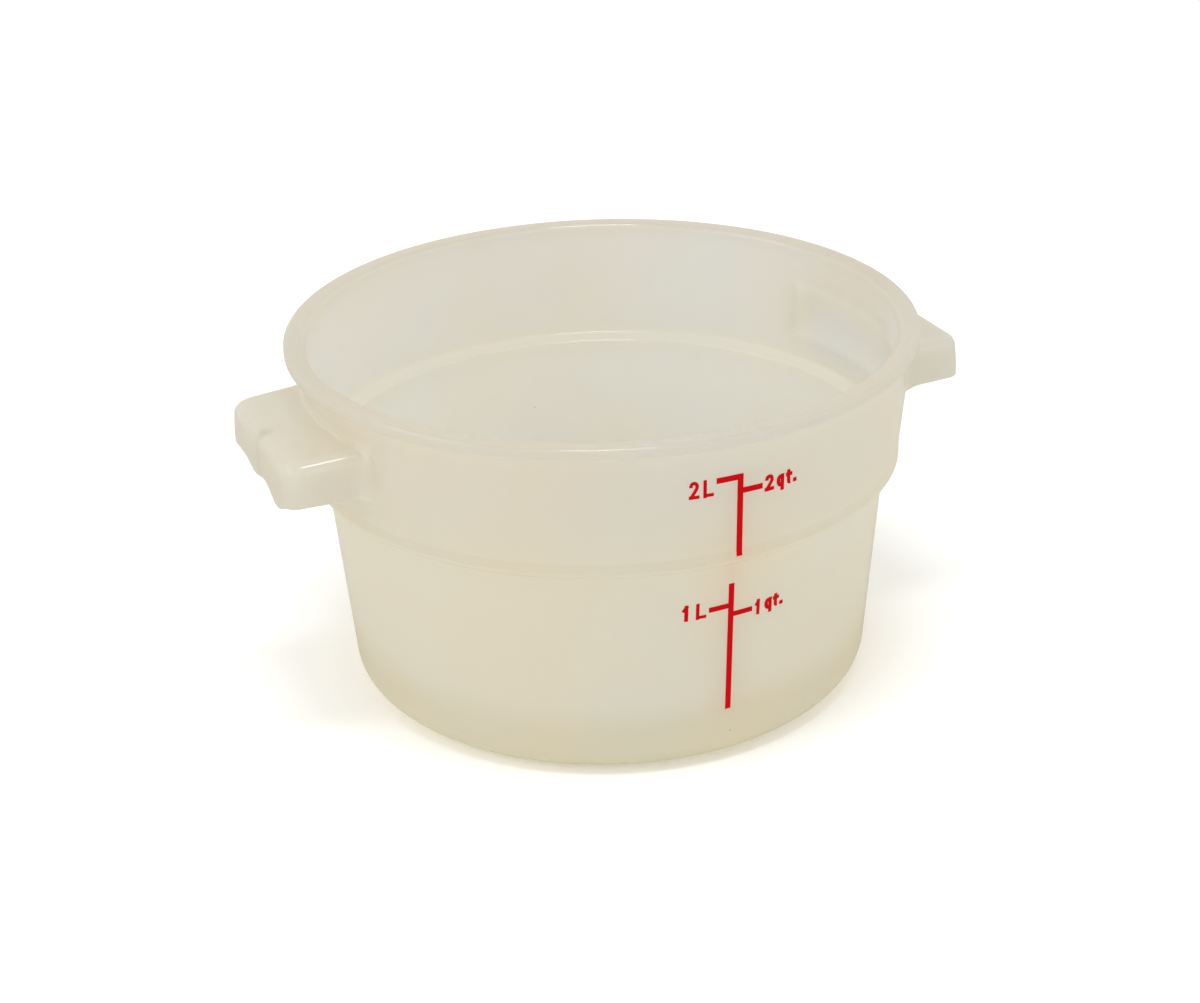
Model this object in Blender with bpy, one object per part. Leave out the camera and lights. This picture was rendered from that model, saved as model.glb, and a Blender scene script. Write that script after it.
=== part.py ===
# Round food storage tub with two lug handles and a printed fill scale.
# Metres, +Z up. The origin is the middle of the underside, and the handles lie along X.

import bisect
import bpy
import bmesh
from math import ceil, cos, floor, pi, radians, sin

# Tub
TUB_HEIGHT = 0.1100
WALL = 0.0020
FLOOR = 0.0026

# Rim
RIM_RADIUS = 0.0946
RIM_OVERHANG = 0.0041
RIM_DEPTH = 0.0038
RIM_EDGE = 0.0012
RIM_INNER_EDGE = 0.0017

# Upper band, which narrows by its draft, and the bead at its foot
BAND_DRAFT = 0.0017
BEAD_DROP = 0.0399
BEAD_STAND = 0.0006
BEAD_ROUND = 0.0008

# Shoulder under the bead, and the ledge inside it
SHOULDER_DROP = 0.0420
SHOULDER_STEP = 0.0039
SHOULDER_FILLET = 0.0010
LEDGE_DROP = 0.0389
LEDGE_FALL = 0.0013
LEDGE_EDGE = 0.0008

# Lower band, which narrows by its draft, and the base
LOWER_DRAFT = 0.0053
BASE_ROUND = 0.0097
FOOT_WIDTH = 0.0100
FOOT_RECESS = 0.0008

# Lug handles
HANDLE_DROP = 0.0142
HANDLE_DEPTH = 0.0133
HANDLE_PROJECTION = 0.0176
HANDLE_WIDTH = 0.0568
HANDLE_FLARE = 0.0020
HANDLE_FALL = 0.0010
HANDLE_WALL = 0.0020
HANDLE_CORNER = 0.0030
HANDLE_EDGE = 0.0030
POCKET_EDGE = 0.0008
HANDLE_ROOT = 0.0140
HANDLE_GAP = 0.0003
GRIP_WAVE = 0.0011
GRIP_PITCH = 0.0203
GRIP_SHIFT = -0.0058

# Printed fill scale, at -Y, midway between the handles
LINE_WIDTH = 0.0017
TICK_LENGTH = 0.0061
TICK_HEIGHT = 0.0016
INK_GAP = 0.00015
INK_DEPTH = 0.00015
UPPER_SHIFT = 0.0015
LOWER_SHIFT = 0.0017
# Heights of the marks, as shares of the upper band's height above the bead's middle
UPPER_TOP_SHARE = 0.7230
UPPER_LITRE_SHARE = 0.6980
UPPER_QUART_SHARE = 0.5845
UPPER_FOOT_SHARE = 0.0350
# Heights of the marks, as shares of the lower band's height
LOWER_TOP_SHARE = 0.8850
LOWER_LITRE_SHARE = 0.7790
LOWER_QUART_SHARE = 0.7370
LOWER_FOOT_SHARE = 0.2670

# Facets
SIDES = 72
BASE_STEPS = 6
SHOULDER_STEPS = 5
EDGE_STEPS = 3
CORNER_STEPS = 5
GRIP_STEPS = 24

# Radii and heights that follow from the sizes above
BAND_TOP_RADIUS = RIM_RADIUS - RIM_OVERHANG
BAND_FOOT_RADIUS = BAND_TOP_RADIUS - BAND_DRAFT
LOWER_TOP_RADIUS = BAND_FOOT_RADIUS - SHOULDER_STEP
LOWER_FOOT_RADIUS = LOWER_TOP_RADIUS - LOWER_DRAFT
RIM_FOOT = TUB_HEIGHT - RIM_DEPTH
BEAD_HEIGHT = TUB_HEIGHT - BEAD_DROP
SHOULDER_HEIGHT = TUB_HEIGHT - SHOULDER_DROP
LEDGE_HEIGHT = TUB_HEIGHT - LEDGE_DROP
HANDLE_REACH = BAND_TOP_RADIUS + HANDLE_PROJECTION


def clear_scene():
    for item in list(bpy.data.objects):
        bpy.data.objects.remove(item, do_unlink=True)


def make_material(name, colour, roughness):
    material = bpy.data.materials.new(name)
    material.use_nodes = True
    shader = material.node_tree.nodes["Principled BSDF"]
    shader.inputs["Base Color"].default_value = (*colour, 1.0)
    shader.inputs["Roughness"].default_value = roughness
    shader.inputs["Metallic"].default_value = 0.0
    material.diffuse_color = (*colour, 1.0)
    return material


def add_object(name, mesh, material=None):
    item = bpy.data.objects.new(name, mesh)
    bpy.context.scene.collection.objects.link(item)
    if material:
        mesh.materials.append(material)
    return item


def shade(mesh):
    mesh.shade_smooth()
    mesh.set_sharp_from_angle(angle=radians(35))


def arc(centre_radius, centre_height, across, along, start, end, steps):
    # Points of a profile arc with two semi-axes, from one angle to another, both ends included
    points = []
    for step in range(steps + 1):
        angle = start + (end - start) * step / steps
        points.append((centre_radius + across * cos(angle), centre_height + along * sin(angle)))
    return points


def lower_radius(height):
    # Outer radius of the lower band's straight wall at a height
    run = SHOULDER_HEIGHT - BASE_ROUND
    return LOWER_FOOT_RADIUS + (LOWER_TOP_RADIUS - LOWER_FOOT_RADIUS) * (height - BASE_ROUND) / run


def base_outline():
    # Recessed middle, flat foot ring and the rounded base edge
    foot_edge = LOWER_FOOT_RADIUS - BASE_ROUND
    recess_edge = foot_edge - FOOT_WIDTH
    points = [(0.0, FOOT_RECESS), (recess_edge - FOOT_RECESS, FOOT_RECESS), (recess_edge, 0.0)]
    points += arc(foot_edge, BASE_ROUND, BASE_ROUND, BASE_ROUND, -pi / 2, 0.0, BASE_STEPS)
    return points


def shoulder_outline():
    # A small fillet, then a flat step that rounds upwards into the bead
    fillet_height = SHOULDER_HEIGHT - SHOULDER_FILLET
    fillet_radius = lower_radius(fillet_height) + SHOULDER_FILLET
    points = arc(fillet_radius, fillet_height, SHOULDER_FILLET, SHOULDER_FILLET, pi, pi / 2, EDGE_STEPS)
    out = BAND_FOOT_RADIUS + BEAD_STAND - fillet_radius
    rise = BEAD_HEIGHT - SHOULDER_HEIGHT
    points += arc(fillet_radius, BEAD_HEIGHT, out, rise, -pi / 2, 0.0, SHOULDER_STEPS)[1:]
    return points


def band_outline():
    # Round over the bead's top, then the straight band up to the rim
    points = arc(BAND_FOOT_RADIUS, BEAD_HEIGHT, BEAD_STAND, BEAD_ROUND, 0.0, pi / 2, EDGE_STEPS)[1:]
    points.append((BAND_TOP_RADIUS, RIM_FOOT))
    return points


def rim_outline():
    # Outer flange, rounded at both outer edges and at the mouth
    outer = RIM_RADIUS - RIM_EDGE
    inner = BAND_TOP_RADIUS - WALL + RIM_INNER_EDGE
    top = TUB_HEIGHT - RIM_EDGE
    points = arc(outer, RIM_FOOT + RIM_EDGE, RIM_EDGE, RIM_EDGE, -pi / 2, 0.0, EDGE_STEPS)
    points += arc(outer, top, RIM_EDGE, RIM_EDGE, 0.0, pi / 2, EDGE_STEPS)
    points += arc(inner, TUB_HEIGHT - RIM_INNER_EDGE, RIM_INNER_EDGE, RIM_INNER_EDGE, pi / 2, pi, EDGE_STEPS)
    return points


def inside_outline():
    # From the mouth down the inside, over the ledge, to the middle of the floor
    band_foot = BAND_FOOT_RADIUS - WALL
    ledge_top = LEDGE_HEIGHT + LEDGE_FALL
    points = [(band_foot, ledge_top + LEDGE_EDGE), (band_foot - LEDGE_EDGE, ledge_top)]
    edge = lower_radius(LEDGE_HEIGHT) - WALL
    points.append((edge + LEDGE_EDGE, LEDGE_HEIGHT))
    points.append((edge, LEDGE_HEIGHT - LEDGE_EDGE))
    inner_round = BASE_ROUND - WALL
    middle = LOWER_FOOT_RADIUS - BASE_ROUND
    points += arc(middle, FLOOR + inner_round, inner_round, inner_round, 0.0, -pi / 2, BASE_STEPS)
    points.append((0.0, FLOOR))
    return points


def outside_outline():
    return base_outline() + shoulder_outline() + band_outline() + rim_outline()


def turn(name, outline):
    # Solid of revolution about Z, from an outline that starts and ends on the axis
    shape = bmesh.new()
    corners = [shape.verts.new((radius, 0.0, height)) for radius, height in outline]
    edges = [shape.edges.new(pair) for pair in zip(corners, corners[1:])]
    bmesh.ops.spin(
        shape,
        geom=corners + edges,
        cent=(0.0, 0.0, 0.0),
        axis=(0.0, 0.0, 1.0),
        angle=2 * pi,
        steps=SIDES,
        use_merge=True,
    )
    bmesh.ops.remove_doubles(shape, verts=shape.verts, dist=WALL / 1000)
    bmesh.ops.recalc_face_normals(shape, faces=shape.faces)
    mesh = bpy.data.meshes.new(name)
    shape.to_mesh(mesh)
    shape.free()
    return mesh


def build_tub(material):
    mesh = turn("tub_body", outside_outline() + inside_outline())
    shade(mesh)
    return add_object("tub_body", mesh, material)


def build_trimmer():
    # The tub's outside as a solid, a gap larger, which trims the handles' roots
    outline = [(radius + HANDLE_GAP, height) for radius, height in outside_outline() if radius > 0]
    outline = [(0.0, outline[0][1])] + outline + [(0.0, outline[-1][1])]
    trimmer = add_object("handle_trimmer", turn("handle_trimmer", outline))
    trimmer.hide_render = True
    trimmer.display_type = "WIRE"
    return trimmer


def handle_ring(inset, height, waved=False):
    # One level loop of the handle: a rounded oblong, drawn in by the inset, falling outwards
    corner = HANDLE_CORNER + HANDLE_EDGE - inset
    root = BAND_TOP_RADIUS - HANDLE_ROOT + inset
    end = HANDLE_REACH - inset
    half = HANDLE_WIDTH / 2 - inset
    loop = [(root, -half)]
    for step in range(CORNER_STEPS + 1):
        angle = pi / 2 * step / CORNER_STEPS
        loop.append((end - corner + corner * sin(angle), corner - half - corner * cos(angle)))
    for step in range(1, GRIP_STEPS):
        loop.append((end, (corner - half) * (1 - 2 * step / GRIP_STEPS)))
    for step in range(CORNER_STEPS + 1):
        angle = pi / 2 * step / CORNER_STEPS
        loop.append((end - corner + corner * cos(angle), half - corner + corner * sin(angle)))
    loop.append((root, half))
    points = []
    for across, along in loop:
        outward = (across - BAND_TOP_RADIUS) / HANDLE_PROJECTION
        flare = 1 + HANDLE_FLARE / HANDLE_WIDTH * (1 - outward)
        level = height - HANDLE_FALL * outward
        if waved:
            reached = max(0.0, (across - end + corner) / corner)
            level -= GRIP_WAVE * reached * cos(2 * pi * (along - GRIP_SHIFT) / GRIP_PITCH)
        points.append((across, along * flare, level))
    return points


def handle_mesh():
    # An upturned tray: outer skin, closed top, pocket skin and the lip that joins them below
    top = TUB_HEIGHT - HANDLE_DROP
    foot = top - HANDLE_DEPTH
    rings = [handle_ring(0.0, foot, True)]
    for step in range(EDGE_STEPS + 1):
        angle = pi / 2 * step / EDGE_STEPS
        rings.append(handle_ring(HANDLE_EDGE * (1 - cos(angle)), top - HANDLE_EDGE * (1 - sin(angle))))
    ceiling = top - HANDLE_WALL
    pocket = [handle_ring(HANDLE_WALL, foot, True)]
    for step in range(EDGE_STEPS + 1):
        angle = pi / 2 * step / EDGE_STEPS
        inset = HANDLE_WALL + POCKET_EDGE * (1 - cos(angle))
        pocket.append(handle_ring(inset, ceiling - POCKET_EDGE * (1 - sin(angle))))
    levels = rings[::-1] + pocket
    shape = bmesh.new()
    loops = [[shape.verts.new(point) for point in level] for level in levels]
    for upper, lower in zip(loops, loops[1:]):
        for index in range(len(upper)):
            after = (index + 1) % len(upper)
            shape.faces.new((upper[index], upper[after], lower[after], lower[index]))
    shape.faces.new(loops[0])
    shape.faces.new(loops[-1])
    bmesh.ops.recalc_face_normals(shape, faces=shape.faces)
    mesh = bpy.data.meshes.new("handle")
    shape.to_mesh(mesh)
    shape.free()
    shade(mesh)
    return mesh


def build_handles(material, trimmer):
    mesh = handle_mesh()
    mesh.materials.append(material)
    for name, angle in (("right_handle", 0.0), ("left_handle", pi)):
        handle = add_object(name, mesh)
        handle.rotation_euler.z = angle
        cut = handle.modifiers.new("trim_to_wall", "BOOLEAN")
        cut.operation = "DIFFERENCE"
        cut.solver = "EXACT"
        cut.object = trimmer


def wall_outline():
    # The tub's outside from the base round up to the rim, where each height has one radius
    outline = outside_outline()
    start = len(base_outline()) - 1
    end = len(base_outline() + shoulder_outline() + band_outline())
    return outline[start:end]


def wall_point(angle, height, lift):
    # A point on the faceted wall, lifted off it
    outline = wall_outline()
    heights = [level for radius, level in outline]
    index = min(max(bisect.bisect_right(heights, height), 1), len(outline) - 1)
    (low_radius, low), (high_radius, high) = outline[index - 1], outline[index]
    radius = low_radius + (high_radius - low_radius) * (height - low) / (high - low)
    facet = 2 * pi / SIDES
    turned = angle % facet - facet / 2
    flat = radius * cos(facet / 2) / cos(turned) + lift
    return (flat * cos(angle), flat * sin(angle), height)


def between(low, high, cuts):
    # The two ends with every cut that lies clearly between them, each one once
    margin = (high - low) / 1000
    kept = [low]
    for cut in sorted(cuts):
        if kept[-1] + margin < cut < high - margin:
            kept.append(cut)
    return kept + [high]


def ink_mesh(name, shift, bars):
    # Each bar is an oblong on the wall: left, right, low, high. Together they make one thin solid.
    radius = BAND_FOOT_RADIUS
    middle = -pi / 2 + shift / radius
    facet = 2 * pi / SIDES
    lefts = [middle + bar[0] / radius for bar in bars]
    rights = [middle + bar[1] / radius for bar in bars]
    first = ceil(min(lefts) / facet)
    last = floor(max(rights) / facet)
    facets = [index * facet for index in range(first, last + 1)]
    rows_wanted = [level for radius_there, level in wall_outline()]
    angles = between(min(lefts), max(rights), lefts + rights + facets)
    lows = [bar[2] for bar in bars]
    highs = [bar[3] for bar in bars]
    heights = between(min(lows), max(highs), lows + highs + rows_wanted)
    shape = bmesh.new()
    skins = []
    for lift in (INK_GAP, INK_GAP + INK_DEPTH):
        skins.append([[shape.verts.new(wall_point(a, h, lift)) for h in heights] for a in angles])
    inner, outer = skins

    def inked(column, row):
        if not (0 <= column < len(angles) - 1 and 0 <= row < len(heights) - 1):
            return False
        angle = (angles[column] + angles[column + 1]) / 2
        height = (heights[row] + heights[row + 1]) / 2
        spans = zip(lefts, rights, lows, highs)
        return any(left < angle < right and low < height < high for left, right, low, high in spans)

    for column in range(len(angles) - 1):
        for row in range(len(heights) - 1):
            if not inked(column, row):
                continue
            corners = ((column, row), (column + 1, row), (column + 1, row + 1), (column, row + 1))
            shape.faces.new([outer[c][r] for c, r in corners])
            shape.faces.new([inner[c][r] for c, r in reversed(corners)])
            beside = ((column, row - 1), (column + 1, row), (column, row + 1), (column - 1, row))
            for side, neighbour in enumerate(beside):
                if not inked(*neighbour):
                    (c0, r0), (c1, r1) = corners[side], corners[(side + 1) % 4]
                    shape.faces.new((inner[c0][r0], inner[c1][r1], outer[c1][r1], outer[c0][r0]))
    spare = [vertex for vertex in shape.verts if not vertex.link_faces]
    bmesh.ops.delete(shape, geom=spare, context="VERTS")
    bmesh.ops.recalc_face_normals(shape, faces=shape.faces)
    mesh = bpy.data.meshes.new(name)
    shape.to_mesh(mesh)
    shape.free()
    return mesh


def scale_bars(top, litre, quart, foot):
    # The upright line, the litre tick to its left and the quart tick to its right
    half = LINE_WIDTH / 2
    tick = TICK_HEIGHT / 2
    return [
        (-half, half, foot, top),
        (-half - TICK_LENGTH, -half, litre - tick, litre + tick),
        (half, half + TICK_LENGTH, quart - tick, quart + tick),
    ]


def build_scales(material):
    band = RIM_FOOT - BEAD_HEIGHT
    shares = (UPPER_TOP_SHARE, UPPER_LITRE_SHARE, UPPER_QUART_SHARE, UPPER_FOOT_SHARE)
    upper = scale_bars(*[BEAD_HEIGHT + band * share for share in shares])
    add_object("upper_scale", ink_mesh("upper_scale", UPPER_SHIFT, upper), material)
    shares = (LOWER_TOP_SHARE, LOWER_LITRE_SHARE, LOWER_QUART_SHARE, LOWER_FOOT_SHARE)
    lower = scale_bars(*[SHOULDER_HEIGHT * share for share in shares])
    add_object("lower_scale", ink_mesh("lower_scale", LOWER_SHIFT, lower), material)


def main():
    clear_scene()
    plastic = make_material("milky_plastic", (0.71, 0.65, 0.52), 0.35)
    handle_plastic = make_material("handle_plastic", (0.71, 0.66, 0.54), 0.35)
    ink = make_material("red_ink", (0.58, 0.004, 0.010), 0.40)
    build_tub(plastic)
    build_handles(handle_plastic, build_trimmer())
    build_scales(ink)


main()
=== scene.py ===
from math import cos, pi, radians, sin

import bmesh
import bpy
import numpy as np
from mathutils import Matrix, Vector


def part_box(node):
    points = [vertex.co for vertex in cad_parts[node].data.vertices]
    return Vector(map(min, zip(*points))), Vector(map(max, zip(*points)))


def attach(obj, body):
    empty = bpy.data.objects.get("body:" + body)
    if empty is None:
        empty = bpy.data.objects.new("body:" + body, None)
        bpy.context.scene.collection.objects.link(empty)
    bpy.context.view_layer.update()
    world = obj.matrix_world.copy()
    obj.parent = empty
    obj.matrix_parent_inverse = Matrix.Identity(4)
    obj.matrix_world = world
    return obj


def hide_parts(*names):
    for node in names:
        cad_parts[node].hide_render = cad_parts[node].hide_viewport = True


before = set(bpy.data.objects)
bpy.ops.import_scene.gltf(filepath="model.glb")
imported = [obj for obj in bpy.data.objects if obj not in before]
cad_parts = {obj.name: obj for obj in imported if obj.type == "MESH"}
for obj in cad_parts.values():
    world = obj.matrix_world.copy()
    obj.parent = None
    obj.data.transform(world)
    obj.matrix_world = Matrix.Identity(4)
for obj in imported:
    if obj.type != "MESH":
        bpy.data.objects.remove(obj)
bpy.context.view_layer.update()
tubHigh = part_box("tub_body")[1]
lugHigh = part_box("right_handle")[1]
print("the packed model is loaded:", sorted(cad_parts))


# Where the picture is taken from: the eye, how far the camera is turned, tilted and rolled, and its lens
view = {
    "eye": (-0.27102, -0.63724, 0.37750),
    "turnDegrees": 22.88,
    "tiltDegrees": 25.285,
    "rollDegrees": -1.708,
    "lens": 74.42,
    "sensorWidth": 36.0,
    "farthest": 20.0,
}


def placeCamera(settings):
    # The camera looks along ahead. Its right and up are turned about that line by the roll.
    turn = radians(settings["turnDegrees"])
    tilt = radians(settings["tiltDegrees"])
    roll = radians(settings["rollDegrees"])
    ahead = np.array([cos(tilt) * sin(turn), cos(tilt) * cos(turn), -sin(tilt)])
    level = np.array([cos(turn), -sin(turn), 0.0])
    upright = np.cross(level, ahead)
    right = cos(roll) * level + sin(roll) * upright
    up = cos(roll) * upright - sin(roll) * level
    data = bpy.data.cameras.new("photoView")
    data.lens = settings["lens"]
    data.sensor_width = settings["sensorWidth"]
    data.sensor_fit = "HORIZONTAL"
    data.clip_end = settings["farthest"]
    camera = bpy.data.objects.new("photoView", data)
    bpy.context.scene.collection.objects.link(camera)
    place = Matrix.Identity(4)
    for column, axis in enumerate((right, up, -ahead)):
        for row in range(3):
            place[row][column] = axis[row]
    place.translation = settings["eye"]
    camera.matrix_world = place
    bpy.context.scene.camera = camera


placeCamera(view)
print("camera placed")


# Meshes from grids of points
def arcPoints(centre, across, along, startDegrees, endDegrees, steps):
    # Points round an ellipse in (radius, height), from one angle to the other
    angles = np.radians(np.linspace(startDegrees, endDegrees, steps + 1))
    return np.column_stack([centre[0] + across * np.cos(angles), centre[1] + along * np.sin(angles)])


def straight(start, end, steps):
    # Evenly spaced points from one place to another, both ends included
    share = np.linspace(0.0, 1.0, steps + 1)[:, None]
    return np.asarray(start) * (1 - share) + np.asarray(end) * share


def gridFaces(rows, columns, first=0, wraps=False):
    # Each face joins a point to its neighbours in the next row and the next column
    index = np.arange(rows * columns).reshape(rows, columns) + first
    if wraps:
        index = np.column_stack([index, index[:, :1]])
    corners = (index[:-1, :-1], index[1:, :-1], index[1:, 1:], index[:-1, 1:])
    return np.stack(corners, axis=-1).reshape(-1, 4)


def newPiece(name, points, faces, creaseDegrees=50.0, weld=2e-7):
    # A mesh object at the origin, with coincident points welded and its faces turned outwards
    mesh = bpy.data.meshes.new(name)
    mesh.from_pydata(points.tolist(), [], faces.tolist())
    shape = bmesh.new()
    shape.from_mesh(mesh)
    bmesh.ops.remove_doubles(shape, verts=shape.verts, dist=weld)
    bmesh.ops.dissolve_degenerate(shape, edges=shape.edges, dist=weld)
    bmesh.ops.recalc_face_normals(shape, faces=shape.faces)
    shape.to_mesh(mesh)
    openEdges = sum(1 for edge in shape.edges if not edge.is_manifold)
    shape.free()
    mesh.shade_smooth()
    mesh.set_sharp_from_angle(angle=radians(creaseDegrees))
    piece = bpy.data.objects.new(name, mesh)
    bpy.context.scene.collection.objects.link(piece)
    print(name, len(mesh.polygons), "faces,", openEdges, "open edges")
    return piece


# The moulded tub, in metres and degrees. Radii come from the rim, and heights from the top.
tub = {
    "wall": 0.0020,
    "floor": 0.0026,
    "rimOverhang": 0.0041,
    "rimDepth": 0.0038,
    "rimEdge": 0.0012,
    "mouthRound": 0.0017,
    "bandDraft": 0.0017,
    "beadDrop": 0.0399,
    "beadStand": 0.00035,
    "beadRise": 0.0030,
    "shoulderDrop": 0.0420,
    "shoulderStep": 0.0039,
    "shoulderFillet": 0.0010,
    "underFillet": 0.0005,
    "join": 0.0004,
    "ledgeDrop": 0.0389,
    "ledgeFall": 0.0013,
    "ledgeEdge": 0.0008,
    "lowerDraft": 0.0053,
    "baseRound": 0.0097,
    "baseStart": -85.0,
    "beadStart": -80.0,
    "footWidth": 0.0100,
    "footRecess": 0.0008,
    "gateRadius": 0.0030,
    "gateDepth": 0.0003,
    "turns": 288,
}
tub["height"] = tubHigh.z
tub["rimRadius"] = tubHigh.x
tub["bandTop"] = tub["rimRadius"] - tub["rimOverhang"]
tub["bandFoot"] = tub["bandTop"] - tub["bandDraft"]
tub["lowerTop"] = tub["bandFoot"] - tub["shoulderStep"]
tub["lowerFoot"] = tub["lowerTop"] - tub["lowerDraft"]
tub["rimFoot"] = tub["height"] - tub["rimDepth"]
tub["bead"] = tub["height"] - tub["beadDrop"]
tub["shoulder"] = tub["height"] - tub["shoulderDrop"]
tub["ledge"] = tub["height"] - tub["ledgeDrop"]

# How many steps each stretch of the profile has
tubSteps = {
    "gate": 2, "recess": 10, "foot": 3, "base": 17, "lower": 16, "fillet": 6, "bead": 10, "beadRise": 8,
    "band": 26, "under": 3, "flange": 2, "rimLow": 6, "rimHigh": 7, "rimTop": 3, "mouth": 9,
    "insideBand": 16, "ledgeOuter": 5, "ledgeInner": 6, "insideLower": 18, "insideBase": 14, "floor": 14,
}


def lowerRadius(height):
    # The lower band's outside, straight from the base round to the shoulder
    share = (height - tub["baseRound"]) / (tub["shoulder"] - tub["baseRound"])
    return tub["lowerFoot"] + (tub["lowerTop"] - tub["lowerFoot"]) * share


def outsideProfile():
    # (radius, height) from the middle of the underside, round the base and up to the rim's foot
    t = tub
    steps = tubSteps
    join = t["join"]
    foot = t["lowerFoot"] - t["baseRound"]
    recess = foot - t["footWidth"]
    gate = t["gateRadius"]
    gateHeight = t["footRecess"] - t["gateDepth"]
    fillet = t["shoulderFillet"]
    filletHeight = t["shoulder"] - fillet
    filletRadius = lowerRadius(filletHeight) + fillet
    low = t["baseRound"] + join
    high = filletHeight - join
    out = t["bandFoot"] + t["beadStand"] - filletRadius
    beadUp = t["bead"] - t["shoulder"]
    rise = t["bead"] + t["beadRise"] * np.linspace(0.0, 1.0, steps["beadRise"] + 1)[1:]
    start = rise[-1] + join
    end = t["rimFoot"] - t["underFillet"] - join
    parts = [
        straight((0.0, gateHeight), (gate / 2, gateHeight), steps["gate"]),
        straight((gate, t["footRecess"]), (recess - t["footRecess"], t["footRecess"]), steps["recess"]),
        straight((recess, 0.0), (foot, 0.0), steps["foot"]),
        arcPoints((foot, t["baseRound"]), t["baseRound"], t["baseRound"], t["baseStart"], 0, steps["base"]),
        straight((lowerRadius(low), low), (lowerRadius(high), high), steps["lower"]),
        arcPoints((filletRadius, filletHeight), fillet, fillet, 180, 90, steps["fillet"]),
        arcPoints((filletRadius, t["bead"]), out, beadUp, t["beadStart"], 0, steps["bead"]),
        np.column_stack([bandRadius(rise) + beadStand(rise), rise]),
        straight((bandRadius(start), start), (bandRadius(end), end), steps["band"]),
    ]
    return np.vstack(parts)


def rimProfile():
    # The flange from its underside over both rounded edges and the flat top to the mouth's round
    t = tub
    steps = tubSteps
    join = t["join"]
    fillet = t["underFillet"]
    edge = t["rimEdge"]
    foot = t["rimFoot"]
    outer = t["rimRadius"] - edge
    lipRound = t["mouthRound"]
    mouth = t["bandTop"] - t["wall"] + lipRound
    parts = [
        arcPoints((t["bandTop"] + fillet, foot - fillet), fillet, fillet, 180, 90, steps["under"]),
        straight((t["bandTop"] + fillet + join, foot), (outer - join, foot), steps["flange"]),
        arcPoints((outer, foot + edge), edge, edge, -90, 0, steps["rimLow"]),
        arcPoints((outer, t["height"] - edge), edge, edge, 0, 90, steps["rimHigh"]),
        straight((outer - join, t["height"]), (mouth + join, t["height"]), steps["rimTop"]),
        arcPoints((mouth, t["height"] - lipRound), lipRound, lipRound, 90, 180, steps["mouth"]),
    ]
    return np.vstack(parts)


def insideProfile():
    # From the mouth down the wall, over the sloping ledge, down again and in to the floor's middle
    t = tub
    steps = tubSteps
    join = t["join"]
    wall = t["wall"]
    top = t["height"] - t["mouthRound"]
    foot = t["bandFoot"] - wall
    shelf = t["ledge"] + t["ledgeFall"]
    edge = lowerRadius(t["ledge"]) - wall
    inner = t["baseRound"] - wall
    middle = t["lowerFoot"] - t["baseRound"]
    bend = t["ledgeEdge"]
    slope = np.degrees(np.arctan2(t["ledgeFall"], foot - edge - 2 * bend))
    high = t["ledge"] - bend - join
    low = t["floor"] + inner + join
    parts = [
        straight((t["bandTop"] - wall, top - join), (foot, shelf + bend + join), steps["insideBand"]),
        arcPoints((foot - bend, shelf + bend), bend, bend, 0, slope - 90, steps["ledgeOuter"]),
        arcPoints((edge + bend, t["ledge"] - bend), bend, bend, 90 + slope, 180, steps["ledgeInner"]),
        straight((lowerRadius(high) - wall, high), (lowerRadius(low) - wall, low), steps["insideLower"]),
        arcPoints((middle, t["floor"] + inner), inner, inner, 0, -90, steps["insideBase"]),
        straight((middle - join, t["floor"]), (0.0, t["floor"]), steps["floor"]),
    ]
    return np.vstack(parts)


# The wall swells softly beside and below each lug, where the mould blends the two
swelling = {
    "stand": 0.0013,
    "low": 0.0705,
    "peak": 0.0880,
    "high": 0.1000,
    "centreDegrees": 26.0,
    "spreadDegrees": 9.0,
}


def smoothStep(value):
    clipped = np.clip(value, 0.0, 1.0)
    return clipped * clipped * (3 - 2 * clipped)


def swellAt(angles, heights):
    # A bell across the angle on both sides of each lug, times a ramp that rises and falls with height
    s = swelling
    fromLug = np.abs((np.degrees(angles) + 90.0) % 180.0 - 90.0)
    bell = np.exp(-((fromLug - s["centreDegrees"]) / s["spreadDegrees"]) ** 2)
    rise = np.clip((heights - s["low"]) / (s["peak"] - s["low"]), 0.0, 1.0)
    fall = 1 - smoothStep((heights - s["peak"]) / (s["high"] - s["peak"]))
    return s["stand"] * bell * rise * fall


def bandRadius(heights):
    # The upper band's outside radius at a height, without the swelling
    t = tub
    return t["bandFoot"] + t["bandDraft"] * (heights - t["bead"]) / (t["rimFoot"] - t["bead"])


def beadStand(heights):
    # How far the bead stands out of the band: all of it at its foot, easing to nothing above
    rise = np.clip((heights - tub["bead"]) / tub["beadRise"], 0.0, 1.0)
    return tub["beadStand"] * (1 + np.cos(pi * rise)) / 2


def buildTub():
    # The profile turned about Z: each point's radius times the cosine and sine of the turn
    outside = outsideProfile()
    rest = np.vstack([rimProfile(), insideProfile()])
    profile = np.vstack([outside, rest])
    angles = np.linspace(0.0, 2 * pi, tub["turns"], endpoint=False)
    radius = np.repeat(profile[:, :1], tub["turns"], axis=1)
    heights = np.repeat(profile[:, 1:], tub["turns"], axis=1)
    onOutside = (np.arange(len(profile)) < len(outside))[:, None]
    radius = radius + swellAt(angles[None, :], heights) * onOutside
    points = np.stack([radius * np.cos(angles), radius * np.sin(angles), heights], axis=-1)
    faces = gridFaces(len(profile), tub["turns"], wraps=True)
    return newPiece("tub_shell", points.reshape(-1, 3), faces)


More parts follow.
